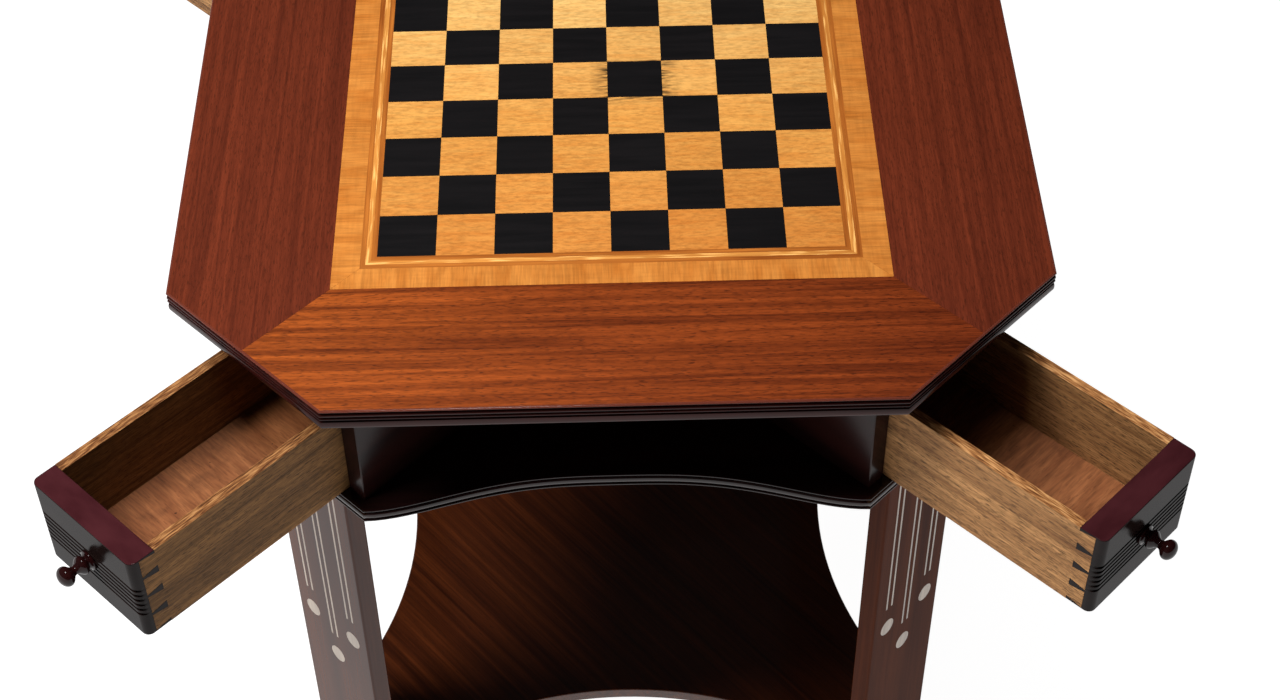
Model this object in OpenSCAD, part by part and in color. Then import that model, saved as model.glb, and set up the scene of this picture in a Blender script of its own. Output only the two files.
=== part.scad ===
// Gaming table: a square top with canted corners and an inlaid chessboard,
// four drawers that run out on the diagonals, a serpentine deck under them,
// four flat panel legs with inlaid lines, and a concave-sided undertier.
// Millimetres. The origin is on the floor under the centre of the table.

/* [Table] */
// Height of the playing surface above the floor
table_h = 710; // [680:5:760]
// Gap left between drawers and the pieces that they slide past
slide_gap = 0.65; // [0.4:0.05:0.9]

/* [Top] */
// Width of the square top
top_w = 610; // [600:2:630]
// Thickness of the top with its veneer
top_t = 16.5; // [15.5:0.5:20]
// Thickness of the veneers and the inlay
veneer_t = 1.2; // [0.8:0.1:1.6]
// Side of one square of the chessboard
square_w = 40.6; // [38:0.2:41]
// Width of each of the three strings round the board
string_w = 3.8; // [3:0.2:5]
// Width of the satinwood crossbanding
satin_w = 19.2; // [14:0.2:24]
// Joint left round each chess square
square_joint = 0.1; // [0.05:0.05:0.2]

/* [Deck] */
// Half width of the deck across its straight corners
deck_half = 285; // [280:1:288]
// Where the canted corner of the deck starts, from the centre line
deck_cant = 177.5; // [172:0.5:182]
// Thickness of the deck
deck_t = 12; // [10:0.5:16]
// Depth of the serpentine hollow in each side of the deck
deck_hollow = 27.8; // [20:0.1:34]
// Clear height between the deck and the top
frieze_h = 111.5; // [105:0.5:120]

/* [Partitions and rails] */
// Thickness of the boards that part the drawers
partition_t = 16; // [12:0.5:18]
// Distance from the centre to the outer ends of the partitions
partition_end = 319; // [312:1:322]
// Thickness of the rail above each drawer
rail_t = 20; // [16:1:24]
// Width of the strips that stop a drawer from tipping
kicker_w = 10; // [6:1:14]

/* [Drawers] */
// Width of each drawer
drawer_w = 105.7; // [100:0.1:108]
// Height of each drawer
drawer_h = 76.2; // [70:0.1:80]
// How far each drawer stands open
drawer_open = 178; // [0:1:205]
// Full thickness of the drawer front
front_t = 20; // [18:0.5:24]
// Thickness of the front that laps over the ends of the sides
front_lap = 7.4; // [6:0.2:9]
// Thickness of the drawer sides and back
side_t = 8.1; // [7:0.1:10]
// Thickness of the drawer bottom
bottom_t = 5; // [4:0.5:6]
// Height of the drawer bottom's upper face above the lower edge of the sides
bottom_rise = 13; // [11:0.5:15]
// Depth of the grooves that hold the drawer bottom
groove_d = 4; // [3:0.5:5]
// Number of tails at the front of each side
tail_count = 4; // [3:1:5]
// Number of reeded grooves across each front
reed_count = 6; // [4:1:7]

/* [Knobs] */
// Radius of the ball end
knob_r = 7.4; // [6:0.1:9]
// How far the knob stands out from the drawer front
knob_out = 25; // [23:0.5:30]

/* [Legs] */
// Width of each panel leg
leg_w = 80.6; // [76:0.2:86]
// Thickness of each leg
leg_t = 16; // [14:0.5:20]
// Distance from the centre to the outer face of a leg
leg_out = 316.5; // [312:0.5:320]
// Depth of the inlay
inlay_d = 1.2; // [0.8:0.1:2]
// Width of each inlaid line
line_w = 1.8; // [1.2:0.1:2.4]
// Distance between the two lines of a pair
line_pitch = 6.1; // [5:0.1:7]
// Distance from the middle pair to an outer pair
pair_pitch = 23.2; // [20:0.2:26]
// Length of the two outer pairs of lines
outer_line_l = 175; // [150:1:190]
// Length of the middle pair of lines
middle_line_l = 215; // [200:1:240]
// Distance from the end of a pair to the middle of its oval
oval_drop = 25; // [20:1:30]
// Width of an inlaid oval
oval_w = 15; // [12:0.5:17]
// Height of an inlaid oval
oval_h = 17; // [13:0.5:20]

/* [Undertier] */
// Height of the undertier's upper face above the floor
tier_z = 208; // [180:1:240]
// Thickness of the undertier
tier_t = 12; // [10:0.5:16]
// Distance from the centre to the middle of each hollow side
tier_waist = 180.4; // [170:0.2:190]
// Radius of each hollow side
tier_r = 310; // [300:1:312]

/* [Hidden] */
CORNERS = ["fl", "fr", "br", "bl"];
CORNER_ANGLE = [225, 315, 45, 135];
SIDES = ["a", "b"];
SIDE_SIGN = [-1, 1];
BOARDS = ["a1", "a2", "b1", "b2"];
FIELDS = ["front", "right", "back", "left"];
PER_CORNER = ["leg", "leg_inlay", "drawer_rail", "drawer_front", "drawer_side_a",
              "drawer_side_b", "drawer_back", "drawer_bottom", "drawer_knob"];
$fn = 48;
// Facets of the large arcs of the undertier
arc_facets = 180;

// Gaps: under a drawer, over it, and behind it when it is shut
drawer_clear = 0.4;
rail_clear = 1;
back_clear = 1.5;
// How far the back of a drawer stops short of the tops of its sides
back_drop = 3;
// Thickness of a pin of the dovetails at its root and at its tip
pin_root = 6.6;
pin_tip = 2;
// Ends of the reeded band, as parts of the height of a drawer front
reed_band = [0.27, 0.66];
reed_groove = 2.4;
reed_depth = 1.4;
// Spigot of a knob, and the room left round and behind it
spigot_r = 4;
spigot_l = 12;
spigot_fit = 0.05;
spigot_room = 1;
// How deep the stem of a knob runs into its ball
stem_sink = 4;
// Depth of the housings of the undertier in the legs
tongue = 5;
// Tenons of the legs in the deck
tenon_w = 50;
tenon_t = 8;
tenon_h = 8;
// Screws: where they stand, their size, and how far they run into the second piece
board_screw_x = 150;
rail_screw_y = 28;
screw_r = 2;
screw_head_r = 4.4;
screw_head_h = 3;
rail_screw_grip = 10;
deck_screw_grip = 25;
// Play of a screw where it bites, and in the piece that it holds
screw_bite = 0.02;
screw_play = 0.3;
// Half of the angle that a cant makes with a side
cant_angle = 22.5;
// Overrun of a cutter past the surface, and the length of a cutter that crosses everything
overrun = 1;
cutter_l = 2000;

top_half = top_w / 2;
board_half = 4 * square_w;
strings_half = board_half + 3 * string_w;
satin_half = strings_half + satin_w;
top_cut = top_half - satin_half;
top_under = table_h - top_t;
deck_z = top_under - frieze_h;
drawer_half = drawer_w / 2;
channel_half = drawer_half + slide_gap;
board_middle = channel_half + partition_t / 2;
cross_face = channel_half + partition_t;
drawer_z = deck_z + drawer_clear;
rail_z = drawer_z + drawer_h + rail_clear;
rail_h = top_under - rail_z;
rail_back = partition_end - rail_t;
drawer_back_x = cross_face + back_clear;
front_face_x = partition_end;
front_back_x = front_face_x - front_t;
side_end_x = front_face_x - front_lap;
tail_pitch = drawer_h / tail_count;
tail_l = side_end_x - front_back_x;
reed_band_z = drawer_h * reed_band[0];
reed_pitch = drawer_h * (reed_band[1] - reed_band[0]) / reed_count;
ball_z = knob_out - knob_r;
stem_l = ball_z - stem_sink;

// Layers of the moulded edges, from the top down: [thickness, set back]
TOP_EDGE = [[3.4, 0], [0.8, 2.4], [2.6, 0.4], [0.8, 2.4], [2.6, 0.4], [0.8, 2.4], [0, 0.4]];
DECK_EDGE = [[2.2, 0.6], [0.8, 2.6], [5.2, 0], [0.8, 2.6], [0, 0.6]];

// Stem of a knob: [radius, part of the stem's length]
KNOB_STEM = [[0, 0], [6.6, 0], [7.4, 0.15], [7.2, 0.37], [5.6, 0.59], [3.6, 0.77], [3.2, 0.92],
             [4.4, 1], [0, 1]];

function corner_index(c) = search([c], CORNERS)[0];
function side_index(s) = search([s], SIDES)[0];
function sum_to(v, n) = n <= 0 ? 0 : v[n - 1][0] + sum_to(v, n - 1);
function canted_square(half, cut) = [
    [half - cut, -half], [half, cut - half], [half, half - cut], [half - cut, half],
    [cut - half, half], [-half, half - cut], [-half, cut - half], [cut - half, -half]
];
function turn(p, a) = [p[0] * cos(a) - p[1] * sin(a), p[0] * sin(a) + p[1] * cos(a)];

// One serpentine side of the deck: hollow in the middle, easing out to the corners
serpentine_steps = 12;
serpentine_power = 1.55;
function ease(t) = t * t * (3 - 2 * t);
function swell(i) = ease(pow(abs(i) / serpentine_steps, serpentine_power));
function serpentine(half, cant) = [
    for (i = [-serpentine_steps : serpentine_steps])
        [cant * i / serpentine_steps, -half + deck_hollow * (1 - swell(i))]
];
function deck_outline(inset) = [
    for (a = [0 : 90 : 270], p = serpentine(deck_half - inset, deck_cant - inset * tan(cant_angle)))
        turn(p, a)
];

module at_corner(c) {
    rotate([0, 0, CORNER_ANGLE[corner_index(c)]]) children();
}

module at_drawer(c) {
    at_corner(c) translate([drawer_open, 0, 0]) children();
}

// A stack of layers under z: every layer but the last has its own thickness
module moulded_stack(edge, z, total) {
    for (i = [0 : len(edge) - 1]) {
        below = sum_to(edge, i);
        layer = i < len(edge) - 1 ? edge[i][0] : total - below;
        translate([0, 0, z - below - layer]) linear_extrude(layer) {
            $inset = edge[i][1];
            children();
        }
    }
}

module rail_screw(play) {
    translate([0, 0, rail_z]) cylinder(r = screw_head_r + play, h = screw_head_h);
    translate([0, 0, rail_z]) cylinder(r = screw_r + play, h = rail_h + rail_screw_grip);
}

module deck_screw(play) {
    translate([0, 0, deck_z - deck_t]) cylinder(r = screw_head_r + play, h = screw_head_h);
    translate([0, 0, deck_z - deck_t]) cylinder(r = screw_r + play, h = deck_t + deck_screw_grip);
}

module rail_screws(play) {
    for (c = CORNERS, s = SIDE_SIGN)
        at_corner(c) translate([partition_end - rail_t / 2, s * rail_screw_y, 0]) rail_screw(play);
}

module deck_screws(play) {
    for (c = CORNERS, s = SIDE_SIGN)
        at_corner(c) translate([board_screw_x, s * board_middle, 0]) deck_screw(play);
}

module top_board() {
    color("saddlebrown") difference() {
        moulded_stack(TOP_EDGE, table_h - veneer_t, top_t - veneer_t)
            polygon(canted_square(top_half - $inset, top_cut - $inset * (2 - sqrt(2))));
        rail_screws(screw_bite);
    }
}

// One of the four mitred mahogany fields; the front one is turned round the table
module mahogany_field(f) {
    mitre = top_half - top_cut / 2;
    color(f == "front" || f == "back" ? "sienna" : "brown")
        rotate([0, 0, 90 * search([f], FIELDS)[0]])
            translate([0, 0, table_h - veneer_t]) linear_extrude(veneer_t)
                polygon([[-satin_half, -satin_half], [-mitre, -mitre], [-satin_half, -top_half],
                         [satin_half, -top_half], [mitre, -mitre], [satin_half, -satin_half]]);
}

module square_frame(outer, inner) {
    translate([0, 0, table_h - veneer_t]) linear_extrude(veneer_t) difference() {
        square(2 * outer, center = true);
        square(2 * inner, center = true);
    }
}

module satinwood_border() {
    color("sandybrown") for (a = [0 : 90 : 270])
        rotate([0, 0, a]) translate([0, 0, table_h - veneer_t]) linear_extrude(veneer_t)
            polygon([[-strings_half, -strings_half],
                     [-satin_half + square_joint, -satin_half],
                     [satin_half - square_joint, -satin_half],
                     [strings_half - square_joint, -strings_half]]);
}

module amber_strings() {
    color("chocolate") {
        square_frame(strings_half, strings_half - string_w);
        square_frame(board_half + string_w, board_half);
    }
}

module light_string() {
    color("burlywood") square_frame(strings_half - string_w, board_half + string_w);
}

module chess_squares(parity) {
    side = square_w - square_joint;
    for (i = [0 : 7], j = [0 : 7])
        if ((i + j) % 2 == parity)
            translate([i * square_w - board_half, j * square_w - board_half, table_h - veneer_t])
                translate([square_joint / 2, square_joint / 2, 0]) cube([side, side, veneer_t]);
}

module dark_squares() {
    color("black") chess_squares(0);
}

module light_squares() {
    color("wheat") chess_squares(1);
}

module deck() {
    color("black") difference() {
        moulded_stack(DECK_EDGE, deck_z, deck_t) polygon(deck_outline($inset));
        deck_screws(screw_play);
        for (c = CORNERS) leg_tenon(c);
    }
}

// The four long boards cross in the middle, halved into each other
module partition(b) {
    k = search([b], BOARDS)[0];
    upper = k < 2;
    color("maroon") rotate([0, 0, upper ? 45 : 135]) difference() {
        translate([-partition_end, k % 2 == 0 ? -cross_face : channel_half, deck_z])
            cube([2 * partition_end, partition_t, frieze_h]);
        for (s = SIDE_SIGN)
            translate([s * board_middle - partition_t / 2, -cutter_l / 2,
                       upper ? deck_z : deck_z + frieze_h / 2])
                cube([partition_t, cutter_l, frieze_h / 2]);
        rotate([0, 0, upper ? -45 : -135]) deck_screws(screw_bite);
    }
}

module drawer_rail(c) {
    color("maroon") difference() {
        at_corner(c) translate([rail_back, -channel_half, rail_z])
            cube([rail_t, 2 * channel_half, rail_h]);
        rail_screws(screw_play);
    }
}

module kickers() {
    color("peru") for (c = CORNERS, s = SIDE_SIGN)
        at_corner(c) translate([cross_face, s * (channel_half - kicker_w / 2) - kicker_w / 2, rail_z])
            cube([rail_back - cross_face, kicker_w, rail_h]);
}

module frame_screws() {
    color("goldenrod") {
        rail_screws(0);
        deck_screws(0);
    }
}

// Outline of the tails on one drawer side, seen from the side
module tails() {
    for (i = [0 : tail_count - 1]) {
        low = i * tail_pitch + pin_root / 2;
        high = (i + 1) * tail_pitch - pin_root / 2;
        flare = (pin_root - pin_tip) / 2;
        polygon([[0, low], [tail_l, low - flare], [tail_l, high + flare], [0, high]]);
    }
}

module side_tails(s) {
    translate([front_back_x, s * (drawer_half - side_t / 2) + side_t / 2, drawer_z])
        rotate([90, 0, 0]) linear_extrude(side_t) tails();
}

module bottom_panel() {
    translate([drawer_back_x, side_t - drawer_half - groove_d, drawer_z + bottom_rise - bottom_t])
        cube([front_back_x + groove_d - drawer_back_x, drawer_w - 2 * side_t + 2 * groove_d, bottom_t]);
}

module knob_spigot() {
    translate([front_face_x - spigot_l, 0, drawer_z + drawer_h / 2])
        rotate([0, 90, 0]) cylinder(r = spigot_r, h = spigot_l);
}

module drawer_front(c) {
    color("dimgray") at_drawer(c) difference() {
        translate([front_back_x, -drawer_half, drawer_z]) cube([front_t, drawer_w, drawer_h]);
        for (s = SIDE_SIGN) side_tails(s);
        bottom_panel();
        knob_spigot();
        for (i = [0 : reed_count - 1])
            translate([front_face_x - reed_depth, -drawer_half, drawer_z + reed_band_z + i * reed_pitch])
                cube([reed_depth, drawer_w, reed_groove]);
    }
}

module drawer_side(c, s) {
    k = SIDE_SIGN[side_index(s)];
    color("tan") at_drawer(c) difference() {
        union() {
            translate([drawer_back_x, k * (drawer_half - side_t / 2) - side_t / 2, drawer_z])
                cube([front_back_x - drawer_back_x, side_t, drawer_h]);
            side_tails(k);
        }
        bottom_panel();
    }
}

module drawer_back(c) {
    color("tan") at_drawer(c)
        translate([drawer_back_x, side_t - drawer_half, drawer_z + bottom_rise])
            cube([side_t, drawer_w - 2 * side_t, drawer_h - bottom_rise - back_drop]);
}

module drawer_bottom(c) {
    color("peru") at_drawer(c) bottom_panel();
}

// Turned knob: a bulb at the drawer front, a slender neck and a ball
module drawer_knob(c) {
    color("darkred") at_drawer(c)
        translate([front_face_x, 0, drawer_z + drawer_h / 2]) rotate([0, 90, 0]) {
            translate([0, 0, spigot_room - spigot_l])
                cylinder(r = spigot_r - spigot_fit, h = spigot_l - spigot_room);
            rotate_extrude() polygon([for (p = KNOB_STEM) [p[0], p[1] * stem_l]]);
            translate([0, 0, ball_z]) sphere(r = knob_r);
        }
}

module leg_tenon(c) {
    at_corner(c) translate([leg_out - leg_t / 2 - tenon_t / 2, -tenon_w / 2, deck_z - deck_t])
        cube([tenon_t, tenon_w, tenon_h]);
}

module oval(w, h) {
    polygon([for (a = [0 : 15 : 345]) [w / 2 * cos(a), h / 2 * sin(a)]]);
}

// The inlay in one leg, drawn on the leg's face with its top edge at zero
module inlay_outline() {
    for (p = [-1 : 1]) {
        length = p == 0 ? middle_line_l : outer_line_l;
        for (s = SIDE_SIGN)
            translate([p * pair_pitch + s * line_pitch / 2 - line_w / 2, -length]) square([line_w, length]);
        translate([p * pair_pitch, -length - oval_drop]) oval(oval_w, oval_h);
    }
}

module inlay_solid(c) {
    at_corner(c) translate([leg_out - inlay_d, 0, deck_z - deck_t]) rotate([90, 0, 90])
        linear_extrude(inlay_d) inlay_outline();
}

module leg(c) {
    color("rosybrown") difference() {
        union() {
            at_corner(c) translate([leg_out - leg_t, -leg_w / 2, 0]) cube([leg_t, leg_w, deck_z - deck_t]);
            leg_tenon(c);
        }
        inlay_solid(c);
        undertier_solid();
    }
}

module leg_inlay(c) {
    color("ivory") inlay_solid(c);
}

module undertier_solid() {
    reach = leg_out - leg_t + tongue;
    translate([0, 0, tier_z - tier_t]) difference() {
        linear_extrude(tier_t) rotate([0, 0, 45]) square(2 * reach, center = true);
        for (a = [0 : 90 : 270])
            rotate([0, 0, a]) translate([0, -tier_waist - tier_r, -overrun])
                cylinder(r = tier_r, h = tier_t + 2 * overrun, $fn = arc_facets);
    }
}

module undertier() {
    color("saddlebrown") undertier_solid();
}

top_board();
satinwood_border();
amber_strings();
light_string();
light_squares();
dark_squares();
deck();
kickers();
frame_screws();
undertier();
for (f = FIELDS) {
    mahogany_field(f);
}
for (b = BOARDS) {
    partition(b);
}
for (c = CORNERS) {
    leg(c);
    leg_inlay(c);
    drawer_rail(c);
    drawer_front(c);
    drawer_side(c, "a");
    drawer_side(c, "b");
    drawer_back(c);
    drawer_bottom(c);
    drawer_knob(c);
}
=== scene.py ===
"""Looks of a gaming table: inlaid top, four corner drawers, serpentine deck, panel legs and undertier.

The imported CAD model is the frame. Boards that show are rebuilt here with rounded, reeded and beaded
edges, cut dovetails and turned knobs, and every surface gets a procedural wood.
Lengths are in metres. A corner piece is built with x outwards along its diagonal, y across it and z up.
"""

import math

import bpy
from mathutils import Matrix, Vector


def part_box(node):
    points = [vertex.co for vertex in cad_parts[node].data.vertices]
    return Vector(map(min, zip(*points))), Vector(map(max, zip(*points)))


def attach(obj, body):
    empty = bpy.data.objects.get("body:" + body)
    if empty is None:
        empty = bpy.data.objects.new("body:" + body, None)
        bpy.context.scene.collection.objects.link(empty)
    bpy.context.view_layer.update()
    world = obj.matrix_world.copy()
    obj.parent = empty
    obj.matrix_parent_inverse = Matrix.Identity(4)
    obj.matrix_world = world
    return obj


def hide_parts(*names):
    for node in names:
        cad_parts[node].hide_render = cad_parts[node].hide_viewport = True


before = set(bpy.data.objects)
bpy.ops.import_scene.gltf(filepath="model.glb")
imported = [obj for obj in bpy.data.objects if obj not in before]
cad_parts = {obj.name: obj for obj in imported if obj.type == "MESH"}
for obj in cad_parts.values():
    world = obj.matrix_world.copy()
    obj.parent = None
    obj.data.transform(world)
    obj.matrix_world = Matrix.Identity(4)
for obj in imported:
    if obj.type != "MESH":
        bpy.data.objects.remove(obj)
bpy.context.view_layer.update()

# ---------------------------------------------------------------- sizes

ROOT2 = math.sqrt(2)
# the direction of each corner's diagonal, and the turn of each side from the front, in degrees
CORNERS = {"fl": 225, "fr": 315, "br": 45, "bl": 135}
FIELDS = {"front": 0, "right": 90, "back": 180, "left": 270}

# top
TABLE_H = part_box("light_squares")[1].z
VENEER_T = TABLE_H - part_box("light_squares")[0].z
TOP_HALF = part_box("top_board")[1].x
TOP_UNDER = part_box("top_board")[0].z
SATIN_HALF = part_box("satinwood_border")[1].x
TOP_CUT = TOP_HALF - SATIN_HALF
SQUARE_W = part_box("light_squares")[1].x / 4
LIPPING_W = 0.0016

# deck: the half length of a side, how far its middle is hollowed, and how flat the hollow runs
DECK_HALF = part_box("deck")[1].x
DECK_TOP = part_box("deck")[1].z
DECK_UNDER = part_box("deck")[0].z
DECK_CANT = 0.1775
DECK_HOLLOW = 0.0278
DECK_SWELL = 1.55

# legs and undertier: its narrowest half width, the radius of its sides, and its housing in a leg
LEG_W = 0.0806
LEG_T = 0.016
LEG_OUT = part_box("leg_br")[1].x * ROOT2 - LEG_W / 2
TIER_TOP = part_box("undertier")[1].z
TIER_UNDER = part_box("undertier")[0].z
TIER_WAIST = 0.1804
TIER_R = 0.310
TONGUE = 0.005

# drawers, and the partitions between them; distances from the middle run along a diagonal
PARTITION_T = 0.016
DRAWER_W = 0.1057
DRAWER_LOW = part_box("drawer_front_br")[0].z
DRAWER_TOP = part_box("drawer_front_br")[1].z
DRAWER_H = DRAWER_TOP - DRAWER_LOW
FACE_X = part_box("drawer_front_br")[1].x * ROOT2 - DRAWER_W / 2
FRONT_T = 0.020
FRONT_LAP = 0.0074
SIDE_T = 0.0081
BOTTOM_T = 0.005
BOTTOM_RISE = 0.013
GROOVE_D = 0.004
BACK_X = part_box("drawer_side_a_br")[0].x * ROOT2 - DRAWER_W / 2 + SIDE_T
CHANNEL_HALF = DRAWER_W / 2 + 0.00065
CROSS_FACE = CHANNEL_HALF + PARTITION_T
PARTITION_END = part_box("partition_a1")[1].x * ROOT2 - CROSS_FACE
TAILS = 4
PIN_ROOT = 0.0066
PIN_TIP = 0.002
REEDS = 6
# the gap round a tail in its socket, and how far the sockets are cut past the board
TAIL_FIT = 0.00008
SPARE = 0.002

# ---------------------------------------------------------------- outlines


def arc(cx, cy, r, start, end, steps):
    """Points of an arc, with both of its ends; the angles are in degrees."""
    angles = [math.radians(start + (end - start) * i / steps) for i in range(steps + 1)]
    return [(cx + r * math.cos(a), cy + r * math.sin(a)) for a in angles]


def rectangle(x0, y0, x1, y1, radius=0.0, steps=4):
    """A counter-clockwise rectangle, with its corners rounded where a radius is given."""
    if not radius:
        return [(x0, y0), (x1, y0), (x1, y1), (x0, y1)]
    return (arc(x1 - radius, y0 + radius, radius, -90, 0, steps)
            + arc(x1 - radius, y1 - radius, radius, 0, 90, steps)
            + arc(x0 + radius, y1 - radius, radius, 90, 180, steps)
            + arc(x0 + radius, y0 + radius, radius, 180, 270, steps))


def turned(points, degrees):
    """The points turned about the origin."""
    c, s = math.cos(math.radians(degrees)), math.sin(math.radians(degrees))
    return [(x * c - y * s, x * s + y * c) for x, y in points]


def four_sided(side):
    """An outline made of one side, drawn along the front, and its three turned copies."""
    return [p for quarter in range(4) for p in turned(side, 90 * quarter)]


def canted_square(half, cut):
    """A square with its corners cut off; cut is how much of each side goes at each end."""
    return four_sided([(cut - half, -half), (half - cut, -half)])


def ease(t):
    """Rises from 0 to 1 with level ends."""
    return t * t * (3 - 2 * t)


def serpentine_side(steps=48):
    """One side of the deck: hollow in the middle, easing out to the canted corners."""
    places = [2 * i / steps - 1 for i in range(steps + 1)]
    return [(DECK_CANT * u, -DECK_HALF + DECK_HOLLOW * (1 - ease(abs(u) ** DECK_SWELL))) for u in places]


def hollow_side(steps=36):
    """One side of the undertier: a hollow arc between two legs, and the end let into a leg."""
    reach = LEG_OUT - LEG_T + TONGUE
    centre = -TIER_WAIST - TIER_R
    # the arc ends on the line x - y = reach * sqrt(2), the end of the tongue
    half_angle = 45 + math.degrees(math.asin((reach * ROOT2 + centre) / (ROOT2 * TIER_R)))
    return arc(0, centre, TIER_R, 90 + half_angle, 90 - half_angle, steps)


def rounding(z0, z1, radius, steps=3, rise=None):
    """Profile of a board with both arrises rounded: (inset, height) from the underside up.

    rise is the height of each rounding, where it differs from the radius.
    """
    rise = rise or radius
    lower = [(radius * (1 - math.sin(a)), z0 + rise * (1 - math.cos(a)))
             for a in (math.pi / 2 * i / steps for i in range(steps + 1))]
    return lower + [(inset, z0 + z1 - z) for inset, z in reversed(lower)]


def beads(z, runs, steps=6):
    """Profile of a run of mouldings from height z up: each is (height, inset, depth).

    A depth above 0 swells a bead out from the inset, and one below 0 sinks a groove.
    """
    profile = []
    for height, inset, depth in runs:
        for i in range(steps + 1):
            u = 2 * i / steps - 1
            bulge = math.sqrt(max(0.0, 1 - u * u))
            profile.append((inset - depth * bulge, z + height * i / steps))
        z += height
    return profile


# ---------------------------------------------------------------- meshes


def shrink(points, inset):
    """The counter-clockwise outline moved inwards; inset is one number, or one for each point."""
    n = len(points)
    insets = inset if isinstance(inset, list) else [inset] * n
    moved = []
    for i, (x, y) in enumerate(points):
        before = Vector((x - points[i - 1][0], y - points[i - 1][1])).normalized()
        after = Vector((points[(i + 1) % n][0] - x, points[(i + 1) % n][1] - y)).normalized()
        outwards = Vector((before.y + after.y, -before.x - after.x)) / (1 + before.dot(after))
        moved.append((x - outwards.x * insets[i], y - outwards.y * insets[i]))
    return moved


def loft(points, profile, place=Matrix.Identity(4)):
    """A closed solid: the outline at each (inset, height) of the profile, from the bottom up."""
    n = len(points)
    verts = [place @ Vector((x, y, z)) for inset, z in profile for x, y in shrink(points, inset)]
    faces = [(a, b, b + n, a + n) for k in range(len(profile) - 1)
             for a, b in ((k * n + i, k * n + (i + 1) % n) for i in range(n))]
    faces += [tuple(reversed(range(n))), tuple(range(len(verts) - n, len(verts)))]
    return verts, faces


def lathe(profile, place=Matrix.Identity(4), segments=40):
    """A turned solid: (radius, height) points from one end to the other, both on the axis."""
    verts = [place @ Vector((0, 0, profile[0][1]))]
    for r, z in profile[1:-1]:
        verts += [place @ Vector((r * math.cos(a), r * math.sin(a), z))
                  for a in (2 * math.pi * i / segments for i in range(segments))]
    verts.append(place @ Vector((0, 0, profile[-1][1])))
    faces = []
    rings = len(profile) - 2
    for i in range(segments):
        j = (i + 1) % segments
        faces.append((0, 1 + j, 1 + i))
        for k in range(rings - 1):
            low = 1 + k * segments
            faces.append((low + i, low + j, low + segments + j, low + segments + i))
        top = 1 + (rings - 1) * segments
        faces.append((top + i, top + j, len(verts) - 1))
    return verts, faces


def joined(parts):
    """Several solids as one list of vertices and faces."""
    verts, faces = [], []
    for v, f in parts:
        faces += [tuple(i + len(verts) for i in face) for face in f]
        verts += v
    return verts, faces


def solid(name, shape):
    """A new mesh object from vertices and faces."""
    mesh = bpy.data.meshes.new(name)
    mesh.from_pydata([tuple(v) for v in shape[0]], [], shape[1])
    mesh.validate()
    made = bpy.data.objects.new(name, mesh)
    bpy.context.scene.collection.objects.link(made)
    return made


def cut(target, tools):
    """Takes the tools' shapes out of the target, as sockets, grooves and housings."""
    cutters = [solid("cutter", tool) for tool in tools]
    for cutter in cutters:
        taken = target.modifiers.new("cut", "BOOLEAN")
        taken.operation = "DIFFERENCE"
        taken.solver = "EXACT"
        taken.object = cutter
    bpy.context.view_layer.update()
    evaluated = target.evaluated_get(bpy.context.evaluated_depsgraph_get())
    mesh = bpy.data.meshes.new_from_object(evaluated)
    target.modifiers.clear()
    target.data = mesh
    for cutter in cutters:
        bpy.data.objects.remove(cutter)
    return target


def piece(made, body, material, nodes, corner=None, sharp=32):
    """Finishes a new piece: its shading, material and body, and the CAD nodes it stands for, which are
    hidden.
    """
    if corner:
        made.rotation_euler.z = math.radians(CORNERS[corner])
    made.data.materials.clear()
    made.data.materials.append(material)
    made.data.shade_smooth()
    made.data.set_sharp_from_angle(angle=math.radians(sharp))
    weighted = made.modifiers.new("flats", "WEIGHTED_NORMAL")
    weighted.keep_sharp = True
    weighted.weight = 100
    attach(made, body)
    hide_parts(*nodes)
    return made


# ---------------------------------------------------------------- materials


def srgb(r, g, b):
    """A colour given as 0 to 255 on the screen, in Blender's linear values."""
    def linear(v):
        v /= 255
        return v / 12.92 if v <= 0.04045 else ((v + 0.055) / 1.055) ** 2.4
    return (linear(r), linear(g), linear(b), 1)


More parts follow.
